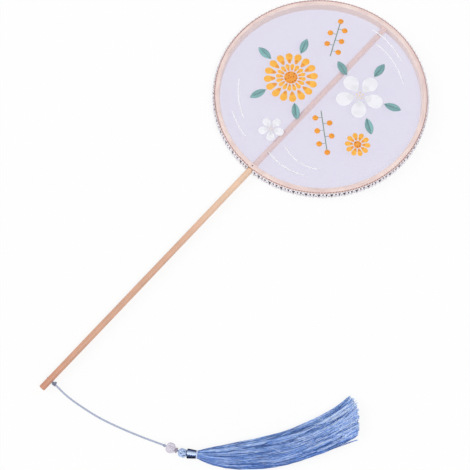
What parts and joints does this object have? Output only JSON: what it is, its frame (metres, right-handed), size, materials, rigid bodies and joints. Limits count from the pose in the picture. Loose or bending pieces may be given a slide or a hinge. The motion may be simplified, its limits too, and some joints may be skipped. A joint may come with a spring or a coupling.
{
  "type": "round hand fan with tassel",
  "caption": "Round sheer-cloth hand fan: bent wood hoop with braided rim, long rod handle that runs on as a spine, stitched flowers, and a beaded tassel on a cord.",
  "frame": {"origin": "bottom centre of the fan's box without its cord and tassel, on the hoop's back plane", "axes": "+Z out of the cloth's face, +Y up the handle towards the head, +X to the right of the face"},
  "size_m": [0.3509, 0.5018, 0.0115],
  "materials": {
    "hoop_wood": "smooth sanded",
    "rod_wood": "smooth sanded",
    "brad_steel": "dull",
    "gauze": "sheer open weave",
    "tape": "woven tape",
    "braid": "white and silver plaited thread",
    "gold_thread": "satin stitch",
    "amber_thread": "knotted stitch",
    "white_thread": "satin stitch",
    "yellow_thread": "knotted stitch",
    "teal_thread": "satin stitch",
    "stem_thread": "stem stitch",
    "orange_thread": "satin stitch",
    "mist_thread": "stem stitch",
    "cord_thread": "twisted cord",
    "spacer_glass": "gloss",
    "bead_resin": "milky gloss",
    "knot_thread": "knotted cord",
    "satin_thread": "satin wrap",
    "pale_thread": "wound thread",
    "skirt_thread": "silky loose threads"
  },
  "bodies": {
    "fan": {"hoop": "hoop_wood", "handle_rod": "rod_wood", "rod_brad": "brad_steel", "gauze_panel": "gauze", "rim_tape": "tape", "rim_braid": "braid", "gold_petals": "gold_thread", "gold_hearts": "amber_thread", "white_petals": "white_thread", "white_hearts": "yellow_thread", "leaves": "teal_thread", "sprig_stems": "stem_thread", "berries": "orange_thread", "mist_lines": "mist_thread", "handle_loop": "cord_thread"},
    "hitch": {"hitch_knot": "cord_thread"},
    "cord": {"tassel_cord": "cord_thread", "stopper_knot": "cord_thread", "cord_core": "cord_thread", "spacer_ring": "spacer_glass"},
    "bead": {"flower_bead": "bead_resin"},
    "tassel": {"button_knot": "knot_thread", "tassel_tie": "cord_thread", "collar_wrap": "satin_thread", "collar_binding": "pale_thread", "tassel_skirt": "skirt_thread"}
  },
  "joints": [
    {"name": "cord_swing", "type": "hinge", "parent": "fan", "child": "hitch", "pos_m": [0.0058, -0.2399, 0.005], "axis": [0, 0, 1], "range_deg": [-85, 30]},
    {"name": "cord_lift", "type": "hinge", "parent": "hitch", "child": "cord", "pos_m": [0.0058, -0.2399, 0.005], "axis": [0, -1, 0], "range_deg": [0, 85]},
    {"name": "bead_spin", "type": "hinge", "parent": "cord", "child": "bead", "pos_m": [0.12536, -0.21285, 0.0052], "axis": [0.9455, 0.3256, 0], "continuous": true},
    {"name": "tassel_bend", "type": "hinge", "parent": "cord", "child": "tassel", "pos_m": [0.13642, -0.20904, 0.0052], "axis": [0, 0, 1], "range_deg": [-45, 20]}
  ]
}
